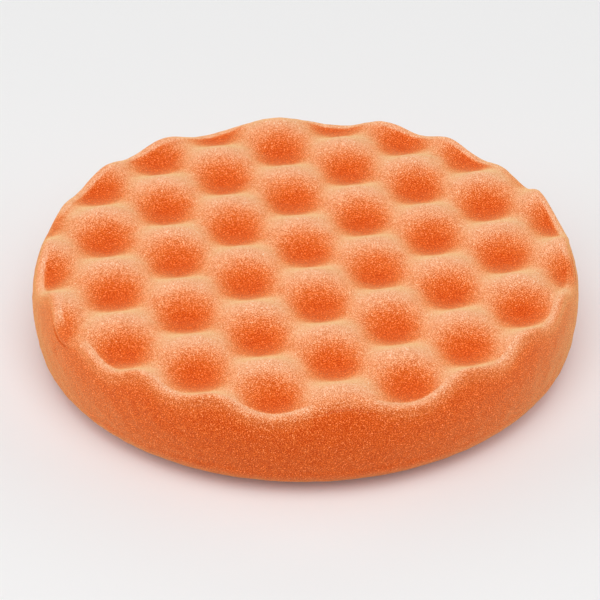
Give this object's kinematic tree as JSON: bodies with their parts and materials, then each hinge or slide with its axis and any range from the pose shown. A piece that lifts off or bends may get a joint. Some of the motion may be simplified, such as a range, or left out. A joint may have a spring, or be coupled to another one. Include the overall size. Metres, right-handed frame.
{
  "type": "foam polishing pad",
  "caption": "Round orange foam polishing pad with a dimpled waffle working face and a hook-and-loop backing for a machine's backing plate.",
  "frame": {"origin": "centre of the loop face, on the plane that rests on the machine's backing plate", "axes": "+Z from the loop face towards the waffle working face; X and Y lie in the pad's face, with the dimples' long spacing turned 7.4 degrees from +X"},
  "size_m": [0.1499, 0.15, 0.03],
  "materials": {
    "foam": "open-cell polyurethane foam, orange, cut waffle face with a fine cell grain",
    "adhesive": "thin amber hot-melt bonding film",
    "ground_cloth": "knitted polyester ground of the loop fabric",
    "loop_pile": "brushed polyester loop pile"
  },
  "bodies": {
    "root": {"foam_disc": "foam", "adhesive_film": "adhesive", "loop_ground_cloth": "ground_cloth", "loop_pile": "loop_pile"}
  },
  "joints": []
}
